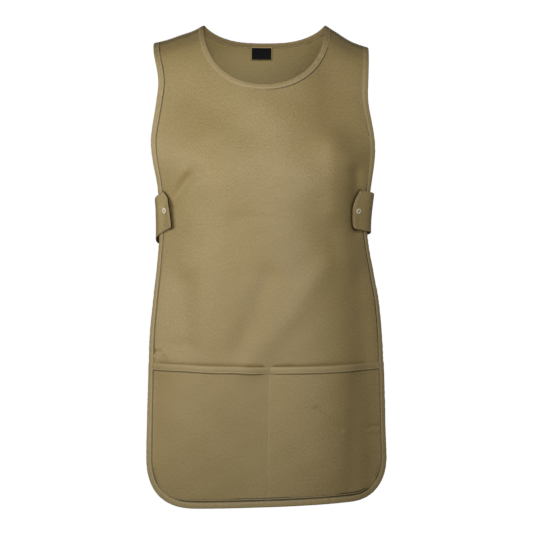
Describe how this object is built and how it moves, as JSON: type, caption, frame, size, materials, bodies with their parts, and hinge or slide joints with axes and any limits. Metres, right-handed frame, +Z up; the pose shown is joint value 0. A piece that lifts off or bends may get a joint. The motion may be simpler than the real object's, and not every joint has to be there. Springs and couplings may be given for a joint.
{
  "type": "pinafore apron",
  "caption": "Sleeveless cloth pinafore apron in worn form: open sides held by snap tabs, scooped neck, bound edges and a wide front pocket parted by a seam.",
  "frame": {"origin": "midway between the two neck points, on the line of the shoulders, where the apron rests on its wearer", "axes": "+Z up, +X to the right as seen from the front, the front faces -Y"},
  "size_m": [0.3873, 0.2432, 0.7818],
  "materials": {
    "cloth": "khaki polycotton twill",
    "tape": "folded bias tape of the same twill",
    "label": "woven satin",
    "stud": "nickel plated"
  },
  "bodies": {
    "root": {"front_panel": "cloth", "back_panel": "cloth", "neck_binding": "tape", "edge_binding": "tape", "pocket_panel": "cloth", "pocket_band": "tape", "neck_label": "label", "left_tab": "cloth", "left_snap_cap": "stud", "left_snap_base": "stud", "right_tab": "cloth", "right_snap_cap": "stud", "right_snap_base": "stud"}
  },
  "joints": []
}
